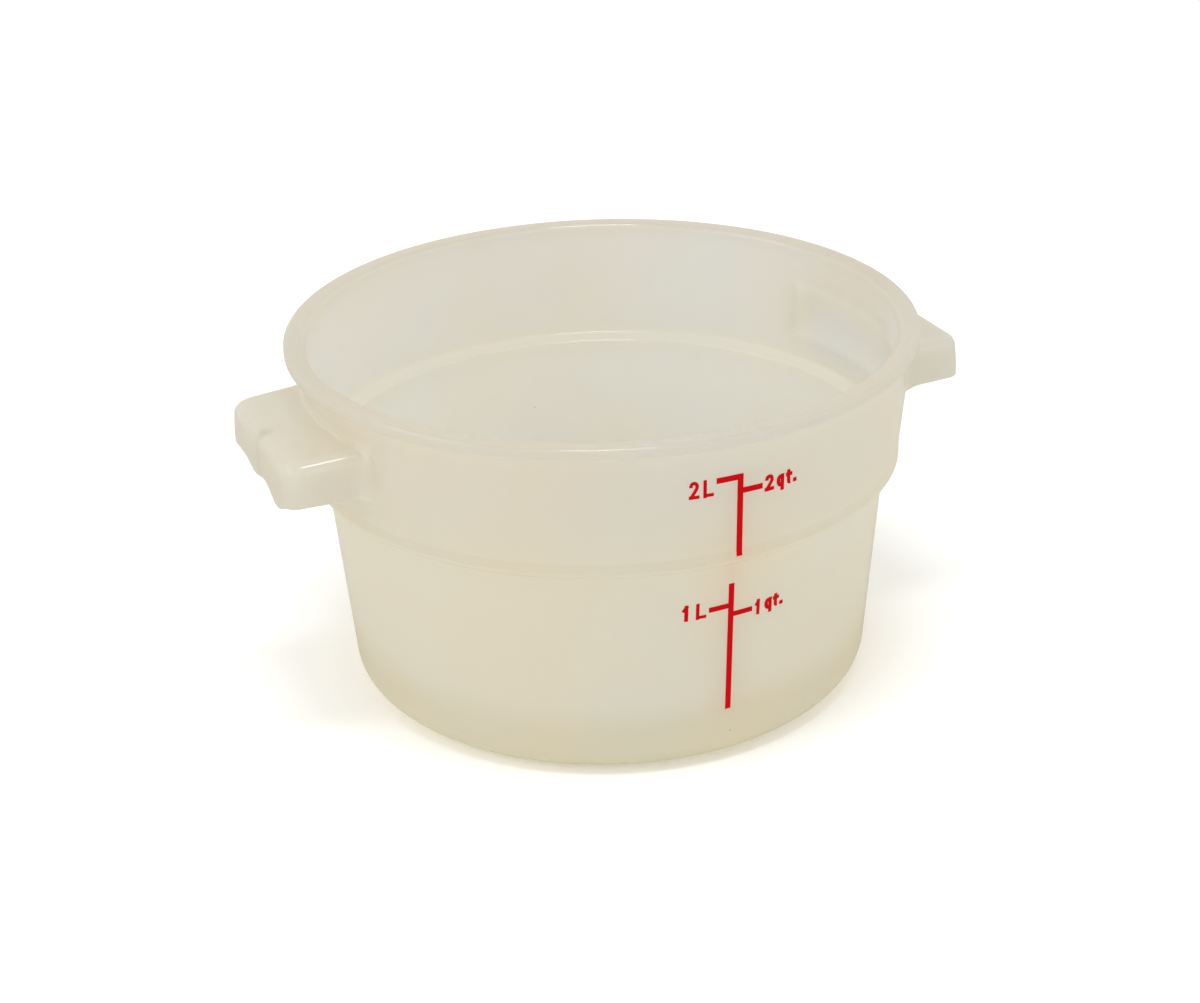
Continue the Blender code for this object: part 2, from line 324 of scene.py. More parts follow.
# The lug handles: an upturned tray with rounded edges, flared where it grows out of the wall.
# Its lip dips in two lobes along the end, each given by its middle, depth and half width, and in a
# gusset at each root, given by its reach and drop, the one at -Y first.
lug = {
    "drop": 0.0142,
    "depth": 0.0138,
    "half": 0.0284,
    "wall": 0.0020,
    "flare": 0.0010,
    "fall": 0.0010,
    "edge": 0.0030,
    "corner": 0.0040,
    "cornerRise": 0.0016,
    "cornerKeep": 0.45,
    "pocketEdge": 0.0010,
    "lipRound": 0.0008,
    "sideFillet": 0.0040,
    "topFillet": 0.0011,
    "pocketFillet": 0.0008,
    "sunk": 0.0004,
    "lobes": ((0.0155, 0.0040, 0.0070), (-0.0055, 0.0020, 0.0060)),
    "gussets": ((0.0075, 0.0040), (0.0034, 0.0020)),
    "gussetBend": 1.9,
    "dimplePlace": (0.1057, 0.0003),
    "dimpleRadius": 0.0020,
    "dimpleDepth": 0.0003,
    "markRadius": 0.0036,
    "filletSteps": 12,
    "sideSteps": 9,
    "cornerSteps": 10,
    "endSteps": 56,
    "wallSteps": 9,
    "wallBend": 1.2,
    "edgeSteps": 7,
    "fanSteps": 16,
    "lipSteps": 8,
}
lug["reach"] = lugHigh.x
lug["top"] = tub["height"] - lug["drop"]


def filletRise(distance, radius):
    # Height of a quarter round above the surface that it leaves, at a distance from the wall
    near = np.clip(radius - distance, 0.0, radius)
    return radius - np.sqrt(radius * radius - near * near)


def wallPlace(across, heights):
    # The x at which the band's outside stands, at a distance across from the lug's middle
    radius = bandRadius(heights)
    angles = np.arcsin(np.clip(across / radius, -1.0, 1.0))
    radius = radius + swellAt(angles, heights)
    return np.sqrt(np.maximum(radius * radius - across * across, 0.0))


def lugColumns(inset, corner):
    # Plan of one level loop, root to root: distances from the wall near it, then side, corner and end
    reachNow = lug["reach"] - inset
    half = lug["half"] - inset
    fillet = lug["sideFillet"] * (1 - np.cos(np.linspace(0.0, pi / 2, lug["filletSteps"] + 1)))
    nearWall = np.concatenate([[-lug["sunk"]], fillet])
    sideStart = wallPlace(half, lug["top"]) + lug["sideFillet"]
    side = np.linspace(0.0, 1.0, lug["sideSteps"] + 1)[1:]
    sideX = sideStart + (reachNow - corner - sideStart) * side
    turnAngle = np.linspace(0.0, pi / 2, lug["cornerSteps"] + 1)[1:]
    cornerX = reachNow - corner + corner * np.sin(turnAngle)
    cornerY = -half + corner - corner * np.cos(turnAngle)
    endY = np.linspace(-half + corner, half - corner, lug["endSteps"] + 1)[1:-1]
    rootCount = len(nearWall)
    x = np.concatenate([np.zeros(rootCount), sideX, cornerX, np.full(len(endY), reachNow)])
    y = np.concatenate([np.full(rootCount + len(sideX), -half), cornerY, endY])
    tail = rootCount + len(sideX) + len(cornerX)
    x = np.concatenate([x, x[:tail][::-1]])
    y = np.concatenate([y, -y[:tail][::-1]])
    distance = np.full(len(x), lug["sideFillet"])
    distance[:rootCount] = nearWall
    distance[-rootCount:] = nearWall[::-1]
    isRoot = np.zeros(len(x), bool)
    isRoot[:rootCount] = True
    isRoot[-rootCount:] = True
    return x, y, distance, isRoot


def lugLevel(inset, corner, height, spread, tilt, share=1.0, sideways=1.0, upwards=0.0):
    # One loop of the lug in space. Near the wall it flares by the fillet's rise, sideways or upwards.
    # A share under 1 draws the loop in towards the wall's middle, to fill the flat top.
    x, y, distance, isRoot = lugColumns(inset, corner)
    length = lug["reach"] - tub["bandTop"]
    away = np.clip((x - tub["bandTop"]) / length, 0.0, 1.0)
    away[isRoot] = 0.0
    wide = y * (1 + lug["flare"] / lug["half"] * (1 - away))
    wide = wide + np.sign(y) * filletRise(distance, spread) * sideways
    y = wide * share
    place = np.where(isRoot, wallPlace(y, height) + distance, x)
    if share < 1.0:
        start = wallPlace(y, height) + lug["sideFillet"]
        full = x - wallPlace(wide, height) - lug["sideFillet"]
        place = np.where(isRoot, place, start + full * share)
    level = height - lug["fall"] * (place - tub["bandTop"]) / length + filletRise(distance, tilt) * upwards
    return np.stack([place, y, np.broadcast_to(level, place.shape)], axis=-1)


def lipHeight(points, inset):
    # The lower edge: two bell-shaped lobes along the end wall, and a gusset that rises from each root
    end = np.clip((points[:, 0] - lug["reach"] + inset + lug["corner"]) / lug["corner"], 0.0, 1.0)
    lobes = 0.0
    for place, depth, width in lug["lobes"]:
        lobes = lobes + depth * np.exp(-(((points[:, 1] - place) / width) ** 2))
    away = np.maximum(points[:, 0] - wallPlace(points[:, 1], lug["top"]), 0.0)
    reach, drop = np.where(points[:, 1:2] < 0.0, *np.array(lug["gussets"])).T
    gusset = drop * np.clip(1 - away / reach, 0.0, 1.0) ** lug["gussetBend"]
    return lug["top"] - lug["depth"] - lobes * smoothStep(end) - gusset


def dented(points):
    # A shallow round dent in the flat top
    across = np.hypot(points[..., 0] - lug["dimplePlace"][0], points[..., 1] - lug["dimplePlace"][1])
    points[..., 2] -= lug["dimpleDepth"] * np.exp(-((across / lug["dimpleRadius"]) ** 2))
    return points


def lugSkin(inset, edge, spread, tilt):
    # Rows of one skin, from the lip up the walls, over the edge's round and in across the top
    rows = []
    top = lug["top"] - inset
    wallTop = top - edge
    corner = lug["corner"] - inset
    length = lug["reach"] - tub["bandTop"]
    base = lugLevel(inset, corner, lug["top"], spread, tilt)
    lip = lipHeight(base, inset) + lug["lipRound"]
    for share in np.linspace(0.0, 1.0, lug["wallSteps"]) ** lug["wallBend"]:
        height = lip * (1 - share) + wallTop * share
        points = lugLevel(inset, corner + lug["cornerRise"] * share * share, height, spread, tilt)
        points[:, 2] = height - lug["fall"] * share * (points[:, 0] - tub["bandTop"]) / length
        rows.append(points)
    for angle in np.linspace(0.0, pi / 2, lug["edgeSteps"] + 1)[1:]:
        drawn = edge * (1 - cos(angle))
        cornerNow = corner + lug["cornerRise"] - lug["cornerKeep"] * drawn
        height = wallTop + edge * sin(angle)
        rows.append(lugLevel(inset + drawn, cornerNow, height, spread, tilt, 1.0, cos(angle), sin(angle)))
    for share in np.linspace(1.0, 0.0, lug["fanSteps"] + 1)[1:]:
        rows.append(lugLevel(inset + edge, cornerNow, top, spread, tilt, share, 0.0, 1.0))
    return rows


def buildLug(name, turned):
    # Outer skin, lip and pocket skin as one grid, closed by a strip where it sinks into the wall
    outer = lugSkin(0.0, lug["edge"], lug["sideFillet"], lug["topFillet"])
    inner = lugSkin(lug["wall"], lug["pocketEdge"], lug["pocketFillet"], lug["pocketFillet"])
    lipRows = []
    for angle in np.linspace(0.0, pi, lug["lipSteps"] + 1)[1:-1]:
        mix = (1 - cos(angle)) / 2
        middle = outer[0] * (1 - mix) + inner[0] * mix
        middle[:, 2] -= lug["lipRound"] * sin(angle)
        lipRows.append(middle)
    rows = outer[::-1] + lipRows + inner
    grid = dented(np.stack(rows))
    if turned:
        grid = grid * np.array([-1.0, -1.0, 1.0])
    count, columns = grid.shape[:2]
    faces = gridFaces(count, columns)
    index = np.arange(count * columns).reshape(count, columns)
    strips = []
    for column in (0, columns - 1):
        edge = index[:, column]
        half = count // 2
        first = edge[:half]
        last = edge[::-1][:half]
        strips.append(np.stack([first[:-1], first[1:], last[1:], last[:-1]], axis=-1))
    faces = np.vstack([faces] + strips)
    return newPiece(name, grid.reshape(-1, 3), faces)


tubPiece = buildTub()
leftLug = buildLug("left_lug", True)
rightLug = buildLug("right_lug", False)


# Printed scale: bars and letters as thin films that hug the wall. Their layout is in millimetres along
# the wall and up, and these values in metres, apart from the smallest stroke, which is in millimetres.
printed = {
    "lift": 0.00003,
    "layer": 0.000002,
    "film": 0.00006,
    "facing": -90.0,
    "step": 0.00015,
    "fewestSteps": 6,
    "millimetres": 1000.0,
    "smallest": 0.1,
    "rounding": 0.35,
    "roundings": 3,
    "weld": 1e-8,
}


def wallRadius(heights):
    # The outside of the wall at any height of the two bands
    upper = bandRadius(heights) + beadStand(heights)
    return np.where(heights > tub["bead"], upper, lowerRadius(heights))


def onWall(along, heights, lift):
    # Turns a length along the wall and a height into a place in space, lifted off the wall
    radius = wallRadius(heights)
    angle = radians(printed["facing"]) + along / radius
    radius = radius + lift
    return np.stack([radius * np.cos(angle), radius * np.sin(angle), heights], axis=-1)


def strokeFilm(path, width, lift):
    # A ribbon of even width along a path. Each cross-section has three points on top and three below.
    path = np.asarray(path) / printed["millimetres"]
    lengths = np.concatenate([[0.0], np.cumsum(np.hypot(*np.diff(path, axis=0).T))])
    count = max(int(lengths[-1] / printed["step"]), printed["fewestSteps"])
    spots = np.linspace(0.0, lengths[-1], count)
    centre = np.column_stack([np.interp(spots, lengths, path[:, 0]), np.interp(spots, lengths, path[:, 1])])
    ahead = np.gradient(centre, axis=0)
    ahead /= np.linalg.norm(ahead, axis=1)[:, None]
    side = np.column_stack([-ahead[:, 1], ahead[:, 0]]) * width / 2 / printed["millimetres"]
    edges = np.stack([centre + side, centre, centre - side], axis=1)
    top = onWall(edges[..., 0], edges[..., 1], lift + printed["film"])
    bottom = onWall(edges[..., 0], edges[..., 1], lift)
    loop = np.concatenate([top, bottom[:, ::-1]], axis=1)
    faces = gridFaces(count, loop.shape[1], wraps=True)
    last = (count - 1) * loop.shape[1]
    caps = []
    for start in (0, last):
        caps += [[start, start + 1, start + 4, start + 5], [start + 1, start + 2, start + 3, start + 4]]
    return loop.reshape(-1, 3), np.vstack([faces, np.array(caps)])


def curvedPath(points):
    # Corners of a polyline cut again and again, so that a bowl or a hook reads as a smooth curve
    path = np.asarray(points, float)
    rounding = printed["rounding"]
    for repeat in range(printed["roundings"]):
        first = path[:-1] * (1 - rounding) + path[1:] * rounding
        second = path[:-1] * rounding + path[1:] * (1 - rounding)
        path = np.vstack([path[:1], np.stack([first, second], axis=1).reshape(-1, 2), path[-1:]])
    return path


# Letterforms in a box of width 1 and height 1, as strokes down the middle of the ink. True is a curve.
letterShapes = {
    "2": [
        (True, [
            (0.06, 0.70), (0.08, 0.90), (0.34, 1.0), (0.74, 0.97), (0.94, 0.76), (0.82, 0.56), (0.10, 0.04),
        ]),
        (False, [(0.02, 0.03), (0.98, 0.03)]),
    ],
    "1": [(False, [(0.76, 0.0), (0.76, 1.0)]), (False, [(0.76, 0.96), (0.06, 0.74)])],
    "L": [(False, [(0.10, 1.0), (0.10, 0.0)]), (False, [(0.10, 0.05), (1.0, 0.05)])],
    "q": [
        (True, [
            (0.86, 0.84), (0.60, 1.0), (0.22, 0.96), (0.05, 0.66), (0.22, 0.34), (0.60, 0.28), (0.86, 0.46),
        ]),
        (False, [(0.86, 1.0), (0.86, 0.0)]),
    ],
    "t": [
        (True, [(0.36, 1.0), (0.36, 0.14), (0.50, 0.0), (0.96, 0.02)]),
        (False, [(0.0, 0.64), (1.0, 0.64)]),
    ],
    ".": [(False, [(0.0, 0.5), (1.0, 0.5)])],
}


def squareEnds(path, half):
    # A straight stroke made longer by half the ink's width at both ends. A dot is set level.
    ahead = path[-1] - path[0]
    length = np.hypot(*ahead)
    ahead = ahead / length if length > printed["smallest"] else np.array([1.0, 0.0])
    return np.vstack([path[0] - ahead * half, path[-1] + ahead * half])


def letterStrokes(letter, left, right, low, high, weight):
    # A letter's strokes set into its box on the wall, held in by half the ink's width
    half = weight / 2
    strokes = []
    for isCurved, points in letterShapes[letter]:
        shares = curvedPath(points) if isCurved else np.asarray(points, float)
        x = left + half + (right - left - weight) * shares[:, 0]
        y = low + half + (high - low - weight) * shares[:, 1]
        path = np.column_stack([x, y])
        if not isCurved:
            path = squareEnds(path, half)
        strokes.append((path, weight))
    return strokes


# Each letter: its left, right, low and high in millimetres along and up the wall, and the ink's width
upperPrint = {
    "bars": [
        ((1.48, 71.10), (1.48, 96.42), 1.78), ((-5.70, 95.54), (1.48, 95.60), 1.76),
        ((1.48, 91.20), (8.46, 91.14), 1.72),
    ],
    "letters": [
        ("2", -13.66, -10.54, 91.00, 96.54, 1.00), ("L", -9.72, -6.44, 91.00, 96.46, 1.00),
        ("2", 9.10, 12.26, 88.86, 94.04, 1.12), ("q", 12.86, 15.84, 88.08, 93.12, 1.18),
        ("t", 16.16, 18.40, 89.28, 94.36, 1.14), (".", 18.72, 19.96, 89.44, 90.74, 1.22),
    ],
}
lowerPrint = {
    "bars": [
        ((1.88, 18.05), (1.48, 60.32), 1.74), ((-5.26, 52.98), (1.55, 53.20), 1.66),
        ((1.55, 50.12), (8.52, 50.16), 1.64),
    ],
    "letters": [
        ("1", -13.22, -11.18, 50.56, 55.86, 1.14), ("L", -9.36, -6.00, 50.56, 55.84, 1.02),
        ("1", 9.40, 11.20, 47.62, 52.74, 1.06), ("q", 12.50, 15.50, 47.18, 52.12, 1.16),
        ("t", 15.62, 17.80, 48.36, 53.28, 1.12), (".", 18.04, 19.28, 48.48, 49.76, 1.22),
    ],
}


def buildPrint(name, layout):
    # Every bar and stroke is its own film, each lifted a hair more than the last so that none coincide
    strokes = [(np.asarray(bar[:2], float), bar[2]) for bar in layout["bars"]]
    for letter in layout["letters"]:
        strokes += letterStrokes(*letter)
    points = []
    faces = []
    start = 0
    for order, (path, width) in enumerate(strokes):
        film, filmFaces = strokeFilm(path, width, printed["lift"] + order * printed["layer"])
        points.append(film)
        faces.append(filmFaces + start)
        start += len(film)
    return newPiece(name, np.vstack(points), np.vstack(faces), weld=printed["weld"])


upperInk = buildPrint("upper_print", upperPrint)
lowerInk = buildPrint("lower_print", lowerPrint)


# Materials
def feed(tree, socket, value):
    # Links another node's socket in, or sets a plain value
    if isinstance(value, bpy.types.NodeSocket):
        tree.links.new(value, socket)
    else:
        socket.default_value = value


def addNode(tree, kind, settings=None, **inputs):
    # A node with its settings, and each named input fed with a socket or a plain value
    node = tree.nodes.new(kind)
    for key, value in (settings or {}).items():
        setattr(node, key, value)
    for key, value in inputs.items():
        feed(tree, node.inputs[key.replace("_", " ")], value)
    return node


def newGroup(name, inputs, outputs):
    # A shader node group with named sockets, each given by its name and the kind of its value
    group = bpy.data.node_groups.new(name, "ShaderNodeTree")
    for way, sockets in (("INPUT", inputs), ("OUTPUT", outputs)):
        for label, kind in sockets.items():
            group.interface.new_socket(name=label, in_out=way, socket_type="NodeSocket" + kind)
    return group, group.nodes.new("NodeGroupInput").outputs, group.nodes.new("NodeGroupOutput").inputs


def useGroup(tree, group, **inputs):
    return addNode(tree, "ShaderNodeGroup", {"node_tree": group}, **inputs).outputs


def newMaterial(name):
    # A material, its nodes and the surface shader that it starts with
    material = bpy.data.materials.new(name)
    material.use_nodes = True
    return material, material.node_tree, material.node_tree.nodes["Principled BSDF"]


def mixColours(tree, how, factor, first, second):
    # The second colour over the first, as far as the factor says
    node = addNode(tree, "ShaderNodeMix", {"data_type": "RGBA", "blend_type": how})
    for index, value in ((0, factor), (6, first), (7, second)):
        feed(tree, node.inputs[index], value)
    return node.outputs[2]


def mathNode(tree, how, *values):
    # One sum of sockets or numbers
    node = addNode(tree, "ShaderNodeMath", {"operation": how})
    for socket, value in zip(node.inputs, values):
        feed(tree, socket, value)
    return node.outputs[0]


def noiseNode(tree, place, scale, detail, roughness=0.5):
    # Soft noise from 0 to 1 at each place
    node = addNode(tree, "ShaderNodeTexNoise", Vector=place, Scale=scale, Detail=detail, Roughness=roughness)
    return node.outputs[0]


def evenRange(tree, value, start, end):
    # Goes evenly from 0 at the start to 1 at the end
    return addNode(tree, "ShaderNodeMapRange", Value=value, From_Min=start, From_Max=end).outputs["Result"]


def smoothRange(tree, value, start, end):
    # Goes smoothly from 0 at the start to 1 at the end
    smooth = {"interpolation_type": "SMOOTHSTEP"}
    node = addNode(tree, "ShaderNodeMapRange", smooth, Value=value, From_Min=start, From_Max=end)
    return node.outputs["Result"]


def objectPlace(tree):
    # A point's place in the object's own frame
    return addNode(tree, "ShaderNodeTexCoord").outputs["Object"]


def placeParts(tree, place):
    return addNode(tree, "ShaderNodeSeparateXYZ", Vector=place).outputs


def storedValue(tree, label):
    # A value that the mesh stores on its points
    return addNode(tree, "ShaderNodeAttribute", {"attribute_name": label}).outputs["Fac"]


def opaque(colour):
    return (*colour, 1.0)


# Slow drifts of hue and lightness, as milky plastic shows where it cooled unevenly
cloudForm = {
    "detail": 2.0,
    "roughness": 0.45,
    "low": 0.35,
    "high": 0.65,
}


def cloudGroup(settings):
    # The noise mixes the cool and the warm tint, and the colour is multiplied by the mix
    group, inside, outside = newGroup(
        "milkyClouds",
        {"Colour": "Color", "Warm": "Color", "Cool": "Color", "Scale": "Float"},
        {"Colour": "Color"},
    )
    drift = noiseNode(group, objectPlace(group), inside["Scale"], settings["detail"], settings["roughness"])
    share = evenRange(group, drift, settings["low"], settings["high"])
    tint = mixColours(group, "MIX", share, inside["Cool"], inside["Warm"])
    feed(group, outside["Colour"], mixColours(group, "MULTIPLY", 1.0, inside["Colour"], tint))
    return group


def speckGroup():
    # Tiny sparse specks in the plastic: the middles of a few scattered cells
    group, inside, outside = newGroup(
        "fineSpecks",
        {"Colour": "Color", "Speck": "Color", "Scale": "Float", "Size": "Float", "Share": "Float"},
        {"Colour": "Color"},
    )
    cells = addNode(group, "ShaderNodeTexVoronoi", Vector=objectPlace(group), Scale=inside["Scale"]).outputs
    luck = addNode(group, "ShaderNodeSeparateColor", Color=cells["Color"]).outputs
    near = mathNode(group, "LESS_THAN", cells["Distance"], inside["Size"])
    chosen = mathNode(group, "LESS_THAN", luck["Red"], inside["Share"])
    mask = mathNode(group, "MULTIPLY", near, chosen)
    mask = mathNode(group, "MULTIPLY", mask, luck["Green"])
    feed(group, outside["Colour"], mixColours(group, "MIX", mask, inside["Colour"], inside["Speck"]))
    return group


# The mould's satin grain, soft waves of the wall and a few fine rubbed scratches
grainForm = {
    "grainScale": 1400.0,
    "grainDetail": 3.0,
    "grainHeight": 0.03,
    "waveScale": 75.0,
    "waveDetail": 1.0,
    "waveMiddle": 0.5,
    "scratchTurn": (0.5, 0.3, 0.9),
    "scratchStretch": (30.0, 260.0, 900.0),
    "scratchDetail": 4.0,
    "scratchRoughness": 0.65,
    "scratchLow": 0.60,
    "scratchHigh": 0.75,
}


def grainGroup(settings):
    # Waves and scratches vary the roughness. Waves and grain make the height.
    group, inside, outside = newGroup(
        "mouldGrain",
        {"Roughness": "Float", "Vary": "Float", "Wave": "Float"},
        {"Roughness": "Float", "Height": "Float"},
    )
    place = objectPlace(group)
    grain = noiseNode(group, place, settings["grainScale"], settings["grainDetail"])
    waves = noiseNode(group, place, settings["waveScale"], settings["waveDetail"])
    turned = addNode(
        group, "ShaderNodeMapping", Vector=place,
        Rotation=settings["scratchTurn"], Scale=settings["scratchStretch"],
    )
    rubbed = noiseNode(
        group, turned.outputs["Vector"], 1.0, settings["scratchDetail"], settings["scratchRoughness"],
    )
    scratch = evenRange(group, rubbed, settings["scratchLow"], settings["scratchHigh"])
    change = mathNode(group, "SUBTRACT", waves, settings["waveMiddle"])
    change = mathNode(group, "ADD", change, scratch)
    change = mathNode(group, "MULTIPLY", change, inside["Vary"])
    feed(group, outside["Roughness"], mathNode(group, "ADD", inside["Roughness"], change))
    tall = mathNode(group, "MULTIPLY", waves, inside["Wave"])
    fine = mathNode(group, "MULTIPLY", grain, settings["grainHeight"])
    feed(group, outside["Height"], mathNode(group, "ADD", tall, fine))
    return group


def softBandGroup():
    # A soft-edged box across the tub: full within a half width and between two heights, else nothing.
    # The distance to the nearest edge, over the blur, runs from half a step outside to half a step inside.
    group, inside, outside = newGroup(
        "softBand",
        {"Half": "Float", "Low": "Float", "High": "Float", "Blur": "Float"},
        {"Mask": "Float"},
    )
    at = placeParts(group, objectPlace(group))
    within = mathNode(group, "SUBTRACT", inside["Half"], mathNode(group, "ABSOLUTE", at["Y"]))
    above = mathNode(group, "SUBTRACT", at["Z"], inside["Low"])
    below = mathNode(group, "SUBTRACT", inside["High"], at["Z"])
    least = mathNode(group, "MINIMUM", within, above)
    least = mathNode(group, "MINIMUM", least, below)
    share = mathNode(group, "DIVIDE", least, inside["Blur"])
    feed(group, outside["Mask"], smoothRange(group, share, -0.5, 0.5))
    return group


def colourRamp(tree, source, stops):
    # A ramp of colours along a value from 0 to 1, smoothly blended
    ramp = addNode(tree, "ShaderNodeValToRGB", Fac=source)
    ramp.color_ramp.interpolation = "EASE"
    while len(ramp.color_ramp.elements) < len(stops):
        ramp.color_ramp.elements.new(0.5)
    for element, (place, colour) in zip(ramp.color_ramp.elements, stops):
        element.position = place
        element.color = opaque(colour)
    return ramp.outputs["Color"]


# The milky plastic. Colours up the outside and the inside, from the base (0) to the rim (1).
# They hold painted light and shade: on the outside a darker band at the bead and shoulder, a lighter
# band under the rim and a darker rim side; on the inside a lighter floor, a painted highlight along the
# ledge's edge, and a greyer, bluer tone than the outside, a painted difference of light. The outside
# is also darker towards the base.
# A tint that is None is left out.
tubPlastic = {
    "outside": [
        (0.00, (0.945, 0.888, 0.725)), (0.12, (0.932, 0.878, 0.722)), (0.24, (0.970, 0.930, 0.810)),
        (0.59, (0.965, 0.920, 0.790)), (0.605, (0.966, 0.922, 0.796)), (0.634, (0.945, 0.898, 0.772)),
        (0.640, (0.880, 0.832, 0.705)), (0.660, (0.890, 0.842, 0.715)), (0.668, (0.930, 0.883, 0.758)),
        (0.90, (0.918, 0.872, 0.765)), (0.955, (0.932, 0.887, 0.787)), (0.966, (0.945, 0.900, 0.805)),
        (0.974, (0.814, 0.792, 0.722)), (1.00, (0.814, 0.792, 0.722)),
    ],
    "inside": [
        (0.00, (0.970, 0.975, 0.975)), (0.03, (0.970, 0.975, 0.975)), (0.10, (0.875, 0.880, 0.880)),
        (0.60, (0.880, 0.888, 0.890)), (0.655, (0.900, 0.892, 0.855)),
        (0.70, (0.875, 0.880, 0.880)), (0.95, (0.875, 0.878, 0.875)), (1.00, (0.870, 0.860, 0.830)),
    ],
    # The rim's up-facing top is painted darker: painted shade
    "rimTop": (0.820, 0.790, 0.718),
    "hollow": (0.982, 0.987, 1.010),
    "hollowLegs": (1.066, 1.080, 1.100),
    "warm": (1.0, 0.987, 0.965, 1.0),
    "cool": (0.985, 0.993, 1.0, 1.0),
    "cloudScale": 24.0,
    "speck": (0.55, 0.46, 0.32, 1.0),
    "speckScale": 330.0,
    "speckSize": 0.10,
    "speckShare": 0.004,
    "roughness": 0.09,
    "ior": 2.3,
    "vary": 0.06,
    "wave": 0.35,
    "bump": 0.12,
    "bumpReach": 0.0006,
    "through": 0.70,
    "glow": (0.99, 0.93, 0.90),
    "glowPlace": 0.0015,
    "glowReach": 0.0040,
    "glowLow": 0.0170,
    "glowHigh": 0.0970,
    "root": None,
    "mark": None,
}
lugColour = (0.892, 0.868, 0.801)
lugPlastic = dict(tubPlastic)
lugPlastic.update({
    "outside": [(0.00, lugColour), (1.00, lugColour)],
    "inside": [(0.00, lugColour), (1.00, lugColour)],
    "roughness": 0.17,
    # The root colour is painted light near the wall
    "root": (0.985, 0.975, 0.935),
    "rootNear": 0.0880,
    "rootFar": 0.0960,
    "speckShare": 0.012,
    "mark": (0.885, 0.880, 0.830),
    "glow": None,
    "rimTop": None,
    "hollow": None,
})

# The patch of wall behind each lug: half its width, and its low and high edge, outside and within
hollowBoxes = {
    "outer": (0.0310, 0.0800, 0.0980),
    "inner": (0.0248, 0.0780, 0.0920),
    "blur": 0.0036,
}


def inkGlow(tree, place, colour, settings):
    # Red light from the ink spreads into the wall beside it: e to the power of minus distance over reach
    at = placeParts(tree, place)
    across = mathNode(tree, "ABSOLUTE", mathNode(tree, "SUBTRACT", at["X"], settings["glowPlace"]))
    fade = mathNode(tree, "EXPONENT", mathNode(tree, "DIVIDE", across, -settings["glowReach"]))
    front = mathNode(tree, "LESS_THAN", at["Y"], 0.0)
    middle = (settings["glowLow"] + settings["glowHigh"]) / 2
    half = settings["glowHigh"] - middle
    blur = settings["glowReach"] / 2
    height = mathNode(tree, "ABSOLUTE", mathNode(tree, "SUBTRACT", at["Z"], middle))
    fade = mathNode(tree, "MULTIPLY", fade, front)
    fade = mathNode(tree, "MULTIPLY", fade, smoothRange(tree, height, half + blur, half - blur))
    return mixColours(tree, "MULTIPLY", fade, colour, opaque(settings["glow"]))


def hollowTint(tree, colour, settings, groups):
    # The wall behind each lug catches more light, most of all along the lug's own walls
    for box, tint in (("outer", "hollowLegs"), ("inner", "hollow")):
        half, low, high = hollowBoxes[box]
        band = useGroup(tree, groups["bands"], Half=half, Low=low, High=high, Blur=hollowBoxes["blur"])
        colour = mixColours(tree, "MULTIPLY", band["Mask"], colour, opaque(settings[tint]))
    return colour


def planDistance(tree, along, across):
    # The root of the sum of two squares
    along = mathNode(tree, "MULTIPLY", along, along)
    across = mathNode(tree, "MULTIPLY", across, across)
    return mathNode(tree, "SQRT", mathNode(tree, "ADD", along, across))


def rootPaintedLight(tree, place, colour, settings):
    # Painted light: the lug is painted lighter where it grows out of the wall, to make up for the shade at
    # its root
    at = placeParts(tree, place)
    radius = planDistance(tree, at["X"], at["Y"])
    near = smoothRange(tree, radius, settings["rootFar"], settings["rootNear"])
    return mixColours(tree, "MIX", near, colour, opaque(settings["root"]))


def dimpleTint(tree, place, colour, settings):
    # A little darker in and round the dent on each lug's top
    at = placeParts(tree, place)
    along = mathNode(tree, "SUBTRACT", mathNode(tree, "ABSOLUTE", at["X"]), lug["dimplePlace"][0])
    near = smoothRange(tree, planDistance(tree, along, at["Y"]), lug["markRadius"], 0.0)
    return mixColours(tree, "MULTIPLY", near, colour, opaque(settings["mark"]))


